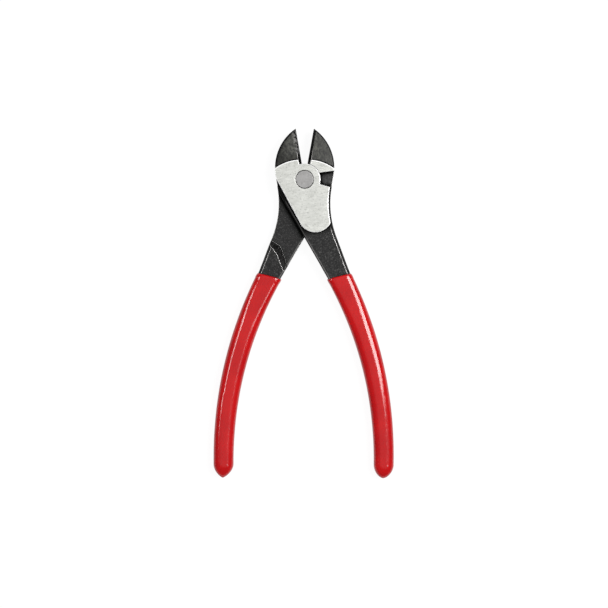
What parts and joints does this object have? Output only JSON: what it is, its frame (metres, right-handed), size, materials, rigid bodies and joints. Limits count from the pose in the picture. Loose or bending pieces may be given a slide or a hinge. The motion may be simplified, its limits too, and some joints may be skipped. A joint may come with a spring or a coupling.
{
  "type": "diagonal cutting pliers",
  "caption": "Lap-joint diagonal cutting pliers: forged steel halves turning on a flush rivet, ground joint faces, bevelled cutting edges and dipped vinyl handle grips.",
  "frame": {"origin": "where the joint rivet's axis meets the lower ground face, on which the tool lies", "axes": "+Y along the tool towards the jaw tips, +Z along the rivet axis out of the upper ground face, +X to the side of the upper half's handle"},
  "size_m": [0.1028, 0.1989, 0.0127],
  "materials": {
    "forged_steel": "black-oxide drop forging, matt and slightly grainy, with bright ground joint faces",
    "rivet_steel": "satin steel, ground flush",
    "dipped_vinyl": "semi-gloss red vinyl, dipped, with soft waves and rounded ends"
  },
  "bodies": {
    "lower_arm": {"lower_half": "forged_steel", "joint_rivet": "rivet_steel", "lower_grip": "dipped_vinyl"},
    "upper_arm": {"upper_half": "forged_steel", "upper_grip": "dipped_vinyl"}
  },
  "joints": [
    {"name": "jaw_hinge", "type": "hinge", "parent": "lower_arm", "child": "upper_arm", "pos_m": [0, 0, 0.00635], "axis": [0, 0, 1], "range_deg": [-20, 30]}
  ]
}
